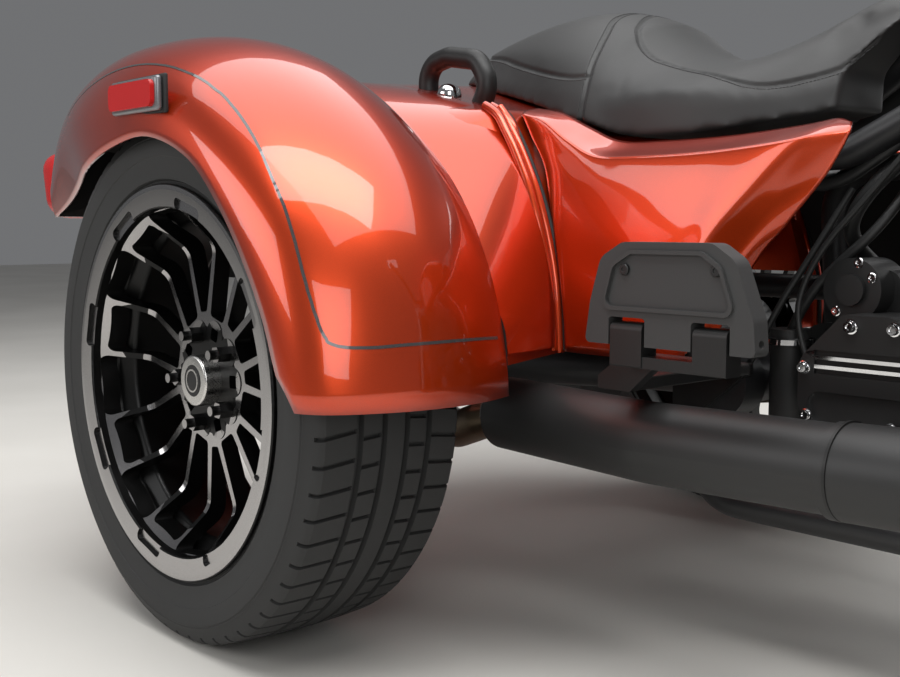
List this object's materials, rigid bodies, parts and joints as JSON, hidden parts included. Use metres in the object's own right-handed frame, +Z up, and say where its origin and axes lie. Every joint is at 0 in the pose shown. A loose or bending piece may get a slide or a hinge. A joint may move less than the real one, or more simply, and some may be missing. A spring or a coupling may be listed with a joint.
{
  "type": "motorized trike",
  "caption": "Three-wheeled motorcycle with a steered front wheel, wide fenders over two rear wheels, a two-up seat, a luggage space with a hinged lid and folding footboards",
  "frame": {"origin": "on the floor, under the middle of the bounding box", "axes": "+X forward, +Y to the rider's left, +Z up"},
  "size_m": [2.6394, 1.39, 1.2735],
  "materials": {
    "orange_paint": "gloss metallic orange red",
    "gloss_black": "gloss black",
    "frame_black": "satin black",
    "engine_black": "wrinkle black",
    "exhaust_black": "matte black coating",
    "wheel_black": "gloss black with machined edges",
    "fork_alloy": "satin",
    "tyre_rubber": "matte",
    "seat_cover": "satin black",
    "board_plastic": "textured",
    "red_lens": "clear red"
  },
  "bodies": {
    "chassis": {"frame": "frame_black", "rear_axle": "frame_black", "engine_case": "engine_black", "cylinder_front": "engine_black", "cylinder_rear": "engine_black", "air_cleaner": "gloss_black", "cam_cover": "gloss_black", "primary_cover": "gloss_black", "exhaust_right": "exhaust_black", "exhaust_left": "exhaust_black", "fuel_tank": "orange_paint", "seat_passenger": "seat_cover", "seat_rider": "seat_cover", "trunk_body": "orange_paint", "side_cover_right": "orange_paint", "side_cover_left": "orange_paint", "fender_right": "orange_paint", "fender_left": "orange_paint", "marker_lamp_right": "red_lens", "marker_lamp_left": "red_lens", "tail_lamp_right": "red_lens", "tail_lamp_left": "red_lens", "plate_bracket": "frame_black", "grab_handle_right": "gloss_black", "grab_handle_left": "gloss_black", "passenger_bracket_right": "gloss_black", "passenger_bracket_left": "gloss_black", "rider_bracket_right": "frame_black", "rider_bracket_left": "frame_black"},
    "steering": {"fork": "fork_alloy", "handlebar": "gloss_black", "headlamp": "gloss_black", "front_fender": "orange_paint"},
    "front_wheel": {"tyre_front": "tyre_rubber", "wheel_front": "wheel_black"},
    "rear_wheel_right": {"tyre_rear_right": "tyre_rubber", "wheel_rear_right": "wheel_black"},
    "rear_wheel_left": {"tyre_rear_left": "tyre_rubber", "wheel_rear_left": "wheel_black"},
    "lid": {"trunk_lid": "orange_paint"},
    "passenger_step_right": {"passenger_board_right": "board_plastic"},
    "passenger_step_left": {"passenger_board_left": "board_plastic"},
    "rider_step_right": {"rider_board_right": "board_plastic"},
    "rider_step_left": {"rider_board_left": "board_plastic"}
  },
  "joints": [
    {"name": "steering_turn", "type": "hinge", "parent": "chassis", "child": "steering", "pos_m": [0.72246, 0, 0.775], "axis": [-0.4384, 0, 0.8988], "range_deg": [-35, 35]},
    {"name": "front_wheel_spin", "type": "hinge", "parent": "steering", "child": "front_wheel", "pos_m": [1.00035, 0, 0.3193], "axis": [0, 1, 0], "continuous": true},
    {"name": "rear_wheel_right_spin", "type": "hinge", "parent": "chassis", "child": "rear_wheel_right", "pos_m": [-0.66965, -0.555, 0.3255], "axis": [0, 1, 0], "continuous": true},
    {"name": "rear_wheel_left_spin", "type": "hinge", "parent": "chassis", "child": "rear_wheel_left", "pos_m": [-0.66965, 0.555, 0.3255], "axis": [0, 1, 0], "continuous": true},
    {"name": "lid_hinge", "type": "hinge", "parent": "chassis", "child": "lid", "pos_m": [-0.87165, 0, 0.714], "axis": [0, 1, 0], "range_deg": [0, 70]},
    {"name": "passenger_step_right_fold", "type": "hinge", "parent": "chassis", "child": "passenger_step_right", "pos_m": [-0.09965, -0.4, 0.408], "axis": [1, 0, 0], "range_deg": [0, 90]},
    {"name": "passenger_step_left_fold", "type": "hinge", "parent": "chassis", "child": "passenger_step_left", "pos_m": [-0.09965, 0.4, 0.408], "axis": [-1, 0, 0], "range_deg": [0, 90]},
    {"name": "rider_step_right_fold", "type": "hinge", "parent": "chassis", "child": "rider_step_right", "pos_m": [0.35535, -0.312, 0.298], "axis": [-1, 0, 0], "range_deg": [0, 45]},
    {"name": "rider_step_left_fold", "type": "hinge", "parent": "chassis", "child": "rider_step_left", "pos_m": [0.35535, 0.312, 0.298], "axis": [1, 0, 0], "range_deg": [0, 45]}
  ]
}
